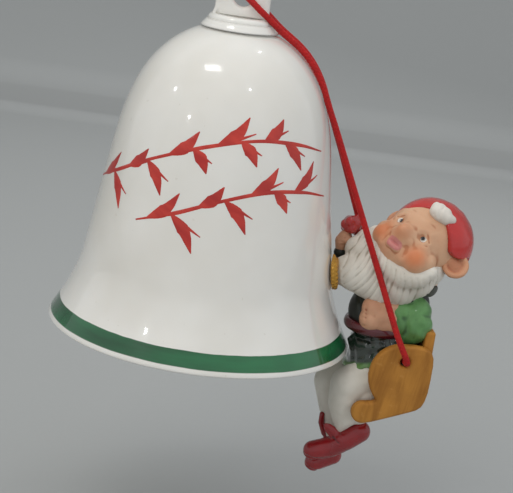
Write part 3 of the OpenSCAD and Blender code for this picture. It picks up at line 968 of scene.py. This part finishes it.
# The belt's red is painted dark maroon: red with painted shade in it.
belt_red_in_shade = painted(
    "belt_red", (88, 20, 30), (42, 10, 16), 0.12, 200, 0.00002, Coat_Weight=0.9, Coat_Roughness=0.05
)
belt = Clay("leather_belt", [
    ((-4.5 + 5.9 * math.cos(t), 5.75 * math.sin(t), 4.2), (0.75, 0.75, 1.1))
    for t in np.linspace(0, 2 * math.pi, 90)
] + [((-10.3, 0, 4.2), (0.5, 1.5, 1.35)), ((-10.35, 0, 4.2), (0.55, 0.9, 0.7))], 0.2)
belt.off_bell(0.4)
belt.fire(belt_red_in_shade, "belt_red", "belt")
# The collar is painted a dull grey: the jacket green with painted shade in it.
collar_grey_in_shade = painted("collar_grey", (92, 94, 88), (52, 54, 50), 0.35, 160, Coat_Weight=0.2)
collar = Clay("coat_collar", roll(
    ((0.6, -3.6, 12.3), 0.9), ((3.2, -2.4, 12.4), 1.0), ((4.2, 0.4, 12.8), 1.0), ((3.4, 3.0, 12.6), 1.0),
    ((0.4, 3.8, 12.2), 0.9),
) + [((4.2, -3.0, 12.7), (0.75, 0.7, 1.4), (0, 32, 0))], 0.2)
collar.fire(collar_grey_in_shade, "collar_grey", "collar")

# Near arm: a full green sleeve, loosely brushed, that rests in the seat, and a mitten of a hand on the
# belly. The sleeve is painted in a lighter, lit copy of the jacket green: painted light.
lit_sleeve_green = painted("sleeve_green", (100, 152, 88), (48, 88, 46), 0.32, 190, 0.00003, Coat_Weight=0.3)
near_sleeve = Clay("near_sleeve", [
    ((1.8, -4.0, 5.7), 3.3), ((1.3, -3.8, 8.3), 3.3), ((-0.6, -4.0, 7.4), 2.9), ((0.4, -4.3, 5.3), 2.7),
    ((0.4, -3.4, 10.2), 2.3), ((-1.7, -4.6, 8.4), 2.3), ((0.6, -4.9, 4.9), 2.5), ((1.6, -4.9, 6.4), 3.2),
    ((-0.8, -4.9, 6.4), 2.5),
], 0.25, 12)
for fold in (
    [(-2.2, 9.4), (-1.0, 7.0), (-0.8, 3.4)], [(0.2, 10.6), (2.4, 9.0), (4.4, 8.4)],
    [(1.0, 8.0), (1.4, 5.6), (0.6, 3.2)], [(2.2, 6.8), (3.6, 5.6), (4.8, 5.4)],
):
    near_sleeve.groove(near_sleeve.on_skin(fold, -1), 0.7, 0.16)
near_sleeve.fire(lit_sleeve_green, "jacket_green", "sleeve_near")
skin = painted(
    "skin", (210, 162, 130), (164, 104, 74), 0.42, 140, Subsurface_Weight=0.1,
    Subsurface_Radius=(0.002, 0.001, 0.0007), Subsurface_Scale=0.5,
)
near_hand = Clay("near_hand", [
    ((-6.6, -4.1, 6.3), 2.5), ((-4.6, -4.2, 6.2), 2.5), ((-3.0, -4.2, 6.2), 2.4), ((-6.4, -3.9, 8.4), 2.5),
    ((-4.4, -4.0, 8.6), 2.6), ((-2.6, -4.0, 8.8), 2.4), ((-5.0, -4.4, 7.4), 2.5), ((-3.0, -4.3, 7.4), 2.5),
], 0.22, 16)
near_hand.groove(near_hand.on_skin([(-8.4, 9.2), (-8.2, 7.4), (-8.0, 5.4)], -1), 0.4, 0.1)
for k in range(3):
    w = 5.2 + 1.5 * k
    near_hand.groove(near_hand.on_skin([(-8.9, w), (-8.6, w + 0.1), (-8.2, w + 0.15)], -1), 0.22, 0.12)
near_hand.fire(skin, "skin", "hand_near")

# Far arm: it reaches up beside the beard to the bell, and its hand holds a wooden brush with a lumpy
# head that is full of red paint.
far_sleeve = Clay("far_sleeve", roll(
    ((-1.4, 3.6, 10.8), 2.6), ((-6.0, 3.9, 12.6), 2.2), ((-10.8, 4.1, 14.8), 1.6), ((-13.2, 4.1, 16.4), 1.3),
), 0.24)
for fold in ([(-11.2, 16.2), (-10.4, 14.4), (-10.8, 13.0)], [(-8.0, 14.8), (-7.4, 12.8), (-7.8, 11.4)]):
    far_sleeve.groove(far_sleeve.on_skin(fold, 1), 0.4, 0.18)
far_sleeve.off_bell(0.5)
# The far sleeve takes the jacket green in its painted shade copy.
far_sleeve.fire(coat_green_in_shade, "jacket_green", "sleeve_far")
far_hand = Clay("far_hand", roll(
    ((-13.2, 4.1, 17.6), 1.15), ((-13.2, 4.1, 18.7), 1.35), ((-12.7, 4.1, 19.6), 1.3))
                + [((-12.3, 3.0, 19.2), (1.2, 0.7, 0.65), (0, -20, 0))], 0.18)
for k in range(3):
    w = 18.0 + 0.75 * k
    far_hand.groove([(-14.5, 3.3, w), (-13.9, 2.8, w + 0.1), (-12.9, 2.7, w + 0.2)], 0.18, 0.1)
far_hand.off_bell(0.6)
far_hand.fire(skin, "skin", "hand_far")
brush_wood = painted("brush_wood", (176, 118, 56), (124, 76, 34), 0.4, 300)
handle = Clay("brush_handle_wood", roll(((-12.9, 4.2, 16), 0.55), ((-12.2, 4.2, 21.4), 0.6)), 0.16)
handle.fire(brush_wood, "brush_wood", "brush_handle")
wet_paint = painted(
    "brush_red", (176, 30, 30), (110, 16, 20), 0.14, 260, 0.00004, Coat_Weight=0.8, Coat_Roughness=0.07
)
ball_at = Vector((-11.9, 4.2, 22.0))
lumps = [(ball_at, 1.8)]
for k in range(9):
    turn = 2.4 * k
    lumps.append((ball_at + Vector((1.15 * math.cos(turn), 1.15 * math.sin(turn), -1.0 + 0.26 * k)), 1.0))
brush = Clay("brush_paint", lumps, 0.18, 4)
brush.fire(wet_paint, "brush_red", "brush_head")

# Beard: a full white beard, combed in long locks that sweep from the cheeks down to a gold band, which
# touches the bell's wall.
head_c = Vector((1.9, 0.05, 21.9))
head_left = Vector((0.647, -0.678, -0.35)).normalized()
head_fwd = Vector((-0.312, -0.654, 0.69)).normalized()
head_up = head_fwd.cross(head_left)


def on_head(left, forward, up):
    return head_c + left * head_left + forward * head_fwd + up * head_up


beard_paint = painted(
    "beard_white", (224, 219, 208), (168, 158, 142), 0.48, 110, 0.00003, Subsurface_Weight=0.08,
    Subsurface_Radius=(0.003, 0.0025, 0.002), Subsurface_Scale=0.5,
)
beard = Clay("combed_beard", [
    ((-12.6, -0.9, 14.2), (2.6, 3.0, 3.0)), ((-10.4, -1.0, 14.3), 3.9), ((-7.6, -1.1, 14.4), 5.0),
    ((-4.6, -1.2, 13.9), 6.0), ((-2.6, -3.5, 13.9), 4.5), ((0.0, -4.2, 15.4), 4.1), ((-0.2, -1.6, 14.8), 4.6),
    ((2.6, -3.6, 17.0), 3.2), ((-10.2, 1.8, 18.0), 2.7), ((-8.4, 2.2, 19.6), 2.7), ((-8.6, 0.0, 17.6), 3.4),
    ((-6.2, -2.6, 16.6), 3.6), ((-3.4, -4.2, 16.2), 3.6), ((0.4, -5.0, 16.4), 3.3), ((-1.4, -5.2, 16.4), 3.3),
] + roll(
    (on_head(-6.2, 2.4, -6.6), 1.9), (on_head(-4.0, 2.4, -8.6), 2.3), (on_head(0, 2.3, -9.6), 2.6),
    (on_head(3.8, 2.2, -9.2), 2.5), (on_head(6.0, 2.0, -7.6), 2.1), (on_head(7.0, 2.4, -5.4), 1.5),
), 0.25, 26)
locks = [
    [(3.2, 18.0), (4.0, 16.2), (3.8, 14.0)], [(1.7, 17.1), (2.4, 15.0), (2.7, 12.4)],
    [(-0.6, 16.6), (0.2, 14.0), (0.1, 10.8)], [(-3.1, 17.3), (-2.5, 14.0), (-2.6, 9.6)],
    [(-4.6, 17.6), (-4.7, 14.2), (-5.4, 9.6)], [(-6.2, 18.9), (-6.7, 15.0), (-8.1, 10.0)],
    [(-7.3, 20.0), (-8.2, 15.7), (-10.8, 11.0)], [(-8.1, 20.6), (-9.8, 16.5), (-12.9, 12.2)],
    [(-9.1, 21.0), (-11.3, 17.3), (-13.4, 13.6)], [(-9.9, 21.6), (-12.0, 18.4), (-13.6, 15.3)],
]
for k, lock in enumerate(locks):
    beard.groove(beard.on_skin(lock, -1), 0.26, 0.13)
    beard.groove(beard.on_skin(lock, 1), 0.26, 0.13)
    if k + 1 < len(locks):
        between = [((a + c) / 2, (b + d) / 2 - 0.3) for (a, b), (c, d) in zip(lock, locks[k + 1])]
        beard.groove(beard.on_skin(between, -1), 0.2, 0.08)
        beard.groove(beard.on_skin(between, 1), 0.2, 0.08)
beard.off_bell(0.6)
beard.fire(beard_paint, "beard_white", "beard")
gold = painted("gold_glaze", (212, 160, 70), (136, 92, 34), 0.2, 300, 0.00005, Metallic=0.7)
gold.bump(gold.noise(700, 3) + gold.hollow * -1.0, 0.00012)
band_at = Vector((-15.0, -1.6, 13.9))
band_turn = Matrix.Rotation(math.radians(-10), 3, "Y")
beads = []
for k in range(26):
    t = 2 * math.pi * k / 26
    beads.append((band_at + band_turn @ Vector((-0.35, 2.85 * math.cos(t), 2.85 * math.sin(t))), 0.5))
    inner_row = Vector((0.25, 3.0 * math.cos(t + 0.12), 3.0 * math.sin(t + 0.12)))
    beads.append((band_at + band_turn @ inner_row, 0.42))
beads += roll((band_at + band_turn @ Vector((-0.45, 0, 0)), 0.1), (band_at, 0.1))
band = Clay("gold_band", beads + [
    (band_at + band_turn @ Vector((0, 0, 0)), (0.62, 2.9, 2.9), (0, 10, 0)),
], 0.16, 2)
band.off_bell(0.32)
band.fire(gold, "gold_glaze", "beard_band")

# Head: a round, ruddy face that looks up at the bell's wall, with a button nose, full cheeks, small
# pursed lips and deep set eyes under faint brows. The colours are brushed on the bare porcelain.
face_paint = painted(
    "face_skin", (216, 174, 140), (178, 120, 86), 0.4, 120, Subsurface_Weight=0.12,
    Subsurface_Radius=(0.002, 0.001, 0.0007), Subsurface_Scale=0.5,
)


def spot(finish, place, inner, outer):
    """1 within inner millimetres of a place on the head, fading to 0 at outer."""
    away = finish.node(
        "ShaderNodeVectorMath", {"operation": "DISTANCE"}, {0: finish.place, 1: in_seat @ place}, "Value"
    )
    return 1 - away.step(inner * MM, outer * MM)


head = Clay("gnome_head", [
    (head_c, 7.4), (on_head(0, 1.8, -2.6), 6.3), (on_head(0, 2.6, -5.0), 5.2), ((2.6, 0.6, 14.6), 3.4),
    (on_head(2.6, 4.9, -0.8), 2.1), (on_head(-2.6, 4.9, -0.8), 2.1),
    (on_head(4.2, 4.2, -6.3), 2.6), (on_head(-4.1, 4.0, -6.3), 2.4),
    (on_head(3.4, 4.4, -4.4), 2.3), (on_head(-3.4, 4.4, -4.4), 2.3),
    (on_head(5.0, 3.2, -5.0), 2.3), (on_head(-5.0, 3.0, -5.0), 2.2),
    (on_head(2.2, 4.5, -7.3), 2.1), (on_head(-2.2, 4.5, -7.2), 2.0), (on_head(0, 4.9, -7.1), 2.2),
    (on_head(0, 3.6, -8.4), 1.8),
], 0.2, 34)
for place, reach, lift in (
    (on_head(0, 7.4, -4.9), 2.7, 2.3), (on_head(1.4, 6.8, -5.3), 1.5, 0.7),
    (on_head(-1.4, 6.8, -5.3), 1.5, 0.7), (on_head(0, 6.8, -2.9), 1.9, 0.5),
):
    head.push(place, reach, lift * head_fwd)
for side in (-1, 1):
    head.push(on_head(side * 2.7, 6.9, -2.9), 1.6, -0.9 * head_fwd)
    lid = [on_head(side * a, c, b) for a, c, b in
           ((1.2, 6.6, -3.0), (1.9, 6.9, -1.9), (2.9, 6.9, -1.6), (4.2, 6.4, -2.6))]
    under = [on_head(side * a, c, b) for a, c, b in
             ((1.3, 6.6, -3.3), (2.3, 6.8, -4.2), (3.4, 6.6, -4.2), (4.3, 6.2, -3.3))]
    brow = [on_head(side * a, 6.9, b) for a, b in ((1.0, -0.5), (2.4, 0.3), (4.0, 0.0), (5.2, -1.0))]
    head.groove(lid, 0.3, 0.2)
    head.groove(under, 0.28, 0.12)
    head.groove(brow, 0.3, 0.04)
    fold = [on_head(side * a, b, c) for a, b, c in ((1.7, 7.2, -5.8), (2.5, 6.8, -6.8), (2.7, 6.3, -8.0))]
    head.groove(fold, 0.5, 0.12)
for height, lift in ((-6.85, 0.62), (-7.85, 0.7)):
    for a in (-1.0, -0.5, 0, 0.5, 1.0):
        head.swell(on_head(a, 6.9 - 0.1 * abs(a), height), 0.8, lift * 0.5)
head.groove([on_head(a, 7.5, -7.35 - 0.08 * abs(a)) for a in (-1.5, -0.7, 0, 0.7, 1.5)], 0.22, 0.24)
cheek_near = spot(face_paint, on_head(4.6, 6.6, -6.6), 0.4, 3.8)
cheek_far = spot(face_paint, on_head(-4.6, 6.6, -6.6), 0.4, 3.8)
nose_tip = spot(face_paint, on_head(0, 8.6, -5.2), 0.4, 2.6)
blush = (cheek_near + cheek_far + nose_tip * 0.7).clamped()
flesh = face_paint.mix(blush * 0.8, face_paint.tone, (202, 112, 62))
lip_mask = (spot(face_paint, on_head(0.75, 7.4, -7.4), 0.85, 1.15)
            + spot(face_paint, on_head(-0.75, 7.4, -7.4), 0.85, 1.15)
            + spot(face_paint, on_head(0, 7.5, -7.4), 0.95, 1.25)).clamped()
flesh = face_paint.mix(lip_mask * 0.75, flesh, (200, 118, 122))
face_paint.coat("Base Color", flesh)
head.fire(face_paint, "skin", "head")

# Ears: large and cupped, turned forwards, with painted shade darkening the bowl.
for name, side, middle in (("near", 1, on_head(8.1, 0.2, -0.4)), ("far", -1, on_head(-7.1, -0.8, -0.4))):
    facing = (0.35 * side * head_left + 0.94 * head_fwd).normalized()
    aside = (side * head_left - facing * facing.dot(side * head_left)).normalized()
    rise = facing.cross(aside)
    if rise.dot(head_up) < 0:
        rise = -rise
    lumps = []
    for k in range(32):
        t = 2 * math.pi * k / 32
        reach_out = 2.1 + 0.2 * math.cos(t - 0.8)
        lumps.append((middle + reach_out * (math.cos(t) * aside + math.sin(t) * rise), 0.52))
    lumps += roll((middle - 1.8 * aside - 0.3 * facing, 1.4), (middle - 0.7 * facing, 1.4))
    lumps += [(middle - 0.55 * facing + a * aside + b * rise, 0.85)
              for a in (-1.4, -0.7, 0, 0.7, 1.4) for b in (-1.4, -0.7, 0, 0.7, 1.4) if math.hypot(a, b) < 1.7]
    ear = Clay("ear_" + name + "_cup", lumps, 0.18, 12)
    ear.groove([middle + 0.2 * facing + 1.3 * math.cos(t) * aside + 1.3 * math.sin(t) * rise
                for t in np.linspace(-2.2, 2.2, 9)], 0.4, 0.08)
    ear_paint = painted(
        "ear_skin_" + name, (206, 152, 116), (166, 102, 72), 0.42, 140, Subsurface_Weight=0.12,
        Subsurface_Radius=(0.002, 0.001, 0.0007), Subsurface_Scale=0.5,
    )
    # Painted shade: the middle of the ear's bowl is darkened.
    bowl_shade = spot(ear_paint, middle + 0.3 * facing, 0.4, 2.4)
    ear_paint.coat("Base Color", ear_paint.mix(bowl_shade * 0.5, ear_paint.tone, (178, 100, 66)))
    ear.fire(ear_paint, "skin", "ear_" + name)

# Eyes: small white balls set under the lids, each with a black pupil that is painted off centre.
eye_r = 1.2
for name, side in (("near", 1), ("far", -1)):
    eye_at = on_head(side * 2.75, 5.7, -2.9)
    gaze = (head_fwd + 0.12 * head_left + 0.02 * head_up).normalized()
    bm = bmesh.new()
    bmesh.ops.create_uvsphere(
        bm, u_segments=40, v_segments=24, radius=eye_r * MM, matrix=Matrix.Translation(in_seat @ eye_at)
    )
    eye_paint = Finish("eye_white_" + name, Coat_Weight=0.6, Coat_Roughness=0.05)
    pupil = spot(eye_paint, eye_at + eye_r * gaze, 0.38, 0.46)
    ring = spot(eye_paint, eye_at + eye_r * gaze, 0.55, 0.65)
    vein = eye_paint.noise(700, 3)
    white = eye_paint.mix(vein.step(0.4, 0.8) * 0.5, (232, 228, 218), (206, 192, 176))
    ringed = eye_paint.mix(ring * 0.5, white, (120, 104, 90))
    eye_paint.coat("Base Color", eye_paint.mix(pupil, ringed, (14, 12, 12)))
    eye_paint.coat("Roughness", 0.2 + vein * 0.1)
    eye_paint.bump(vein, 0.00001)
    eye = show("eye_" + name, bm, eye_paint.material)
    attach(eye, "figure")

# Cap: a round cap of glossy red with stitched panels, pulled low on the head, and in front of it a
# curl of white hair.
cap_glaze = painted(
    "cap_red", (196, 44, 40), (120, 20, 22), 0.2, 130, 0.00004, Coat_Weight=0.6, Coat_Roughness=0.1
)
cap_c = on_head(0, -0.1, 0.5) + Vector((0.5, 0, -0.6))
cap = Clay("gnome_cap", [(cap_c, 8.25)], 0.2, 2)
local = (cap.at - np.array(head_c)) @ np.array([head_left, head_fwd, head_up]).T
in_front = np.clip((local[:, 1] + 1) / 5, 0, 1)
over_ear = np.clip((np.abs(local[:, 0]) - 3.5) / 3, 0, 1)
front_edge = 2.6 + 0.3 * local[:, 0] - 0.1 * local[:, 0] ** 2
edge = front_edge * in_front + (4.2 * over_ear - 1.5) * (1 - in_front)
brim = np.clip((local[:, 2] - edge) / 0.45, 0, 1)
inward = 1 - 0.15 * (1 - brim) ** 2
around = np.arctan2(local[:, 1], local[:, 0])
rib = 1 + 0.01 * np.abs(np.cos(around * 4)) * np.clip(local[:, 2] / 4, 0, 1)
cap.at = np.array(cap_c) + (cap.at - np.array(cap_c)) * (inward * rib)[:, None]
cap.write()
cap.fire(cap_glaze, "cap_red", "cap")
hair_paint = painted("hair_white", (222, 216, 206), (172, 160, 146), 0.45, 160, 0.00003)
tuft = Clay("hair_curl", roll(
    (on_head(0.2, 7.5, 3.4), 1.0), (on_head(0.7, 7.4, 2.7), 1.25), (on_head(1.6, 7.1, 2.8), 1.4),
    (on_head(2.7, 6.5, 3.2), 1.35), (on_head(3.5, 5.9, 3.9), 0.9),
) + [(on_head(0.9, 7.1, 3.6), 1.2), (on_head(2.0, 6.7, 3.8), 1.2)], 0.18, 14)
for a in (0.6, 1.8, 2.9):
    tuft.groove([on_head(a - 0.6, 8.0, 4.4), on_head(a, 8.4, 3.2), on_head(a + 0.5, 8.0, 1.8)], 0.3, 0.1)
tuft.fire(hair_paint, "beard_white", "hair_tuft")

# Studio: a pale sweep under and behind the ornament, painted lighter up its curve as painted light, and soft
# lamps.
sweep_z = -0.104
bm = bmesh.new()
floor_points = [Vector((0, y, z)) for y, z in (
    (-0.9, sweep_z), (0.30, sweep_z), (0.42, sweep_z + 0.01), (0.52, sweep_z + 0.05),
    (0.58, sweep_z + 0.12), (0.60, sweep_z + 0.22), (0.60, sweep_z + 0.9))]
curve_line, _ = smooth_line(floor_points, 0.03)
start = [bm.verts.new(p + Vector((-1.2, 0, 0))) for p in curve_line]
edges = [bm.edges.new(pair) for pair in zip(start, start[1:])]
moved = bmesh.ops.extrude_edge_only(bm, edges=edges)["geom"]
bmesh.ops.translate(bm, vec=(2.4, 0, 0), verts=[g for g in moved if isinstance(g, bmesh.types.BMVert)])
bmesh.ops.recalc_face_normals(bm, faces=bm.faces)
paper = Finish("studio_paper", Specular_IOR_Level=0.2)
tooth = paper.noise(900, 3)
# Painted light: the paper is darker on the floor and lighter going up the sweep.
up = paper.node("ShaderNodeSeparateXYZ", {}, {0: paper.place}, "Z").step(-0.02, 0.3)
tone = paper.mix(up, (170, 172, 171), (206, 207, 203))
paper.coat("Base Color", paper.mix(tooth * 0.3, tone, (164, 166, 166)))
paper.coat("Roughness", 0.85 + tooth * 0.1)
floor = show("studio_floor", bm, paper.material)


def lamp(name, place, size, power, tint=(255, 255, 255), mirrored=False):
    """A soft lamp that faces the ornament; the glaze shows it only if it is mirrored. The place is in
    millimetres from the hang hole."""
    data = bpy.data.lights.new(name, "AREA")
    data.shape = "RECTANGLE"
    data.size = size[0] * MM
    data.size_y = size[1] * MM
    data.energy = power
    data.color = colour(tint)[:3]
    lit = bpy.data.objects.new(name, data)
    lit.location = Vector(place) * MM
    lit.rotation_euler = (Vector((10, 0, -45)) * MM - lit.location).to_track_quat("-Z", "Y").to_euler()
    lit.visible_glossy = mirrored
    bpy.context.scene.collection.objects.link(lit)


lamp("key", (-230, -300, 300), (380, 320), 0.75, (255, 250, 242))
lamp("overhead", (40, 60, 420), (520, 520), 0.55)
lamp("fill", (340, -260, 60), (360, 360), 0.3, (246, 249, 255))
lamp("back", (120, 340, 160), (360, 260), 0.25)
for row in range(2):
    for k in range(5):
        spark = (-190 + 24 * k, -120 + 30 * row - 8 * k, 351)
        lamp("spark_" + str(5 * row + k), spark, (9, 9), 0.012, mirrored=True)
for k, spark in enumerate([(135, -236, 293), (-347, -90, 186), (126, 106, 354), (-260, -280, 120)]):
    lamp("glint_" + str(k), spark, (14, 14), 0.02, mirrored=True)
world = bpy.data.worlds.new("studio_air")
world.use_nodes = True
world.node_tree.nodes["Background"].inputs["Color"].default_value = (0.62, 0.64, 0.66, 1)
world.node_tree.nodes["Background"].inputs["Strength"].default_value = 0.8
bpy.context.scene.world = world
bpy.context.scene.view_settings.view_transform = "Standard"
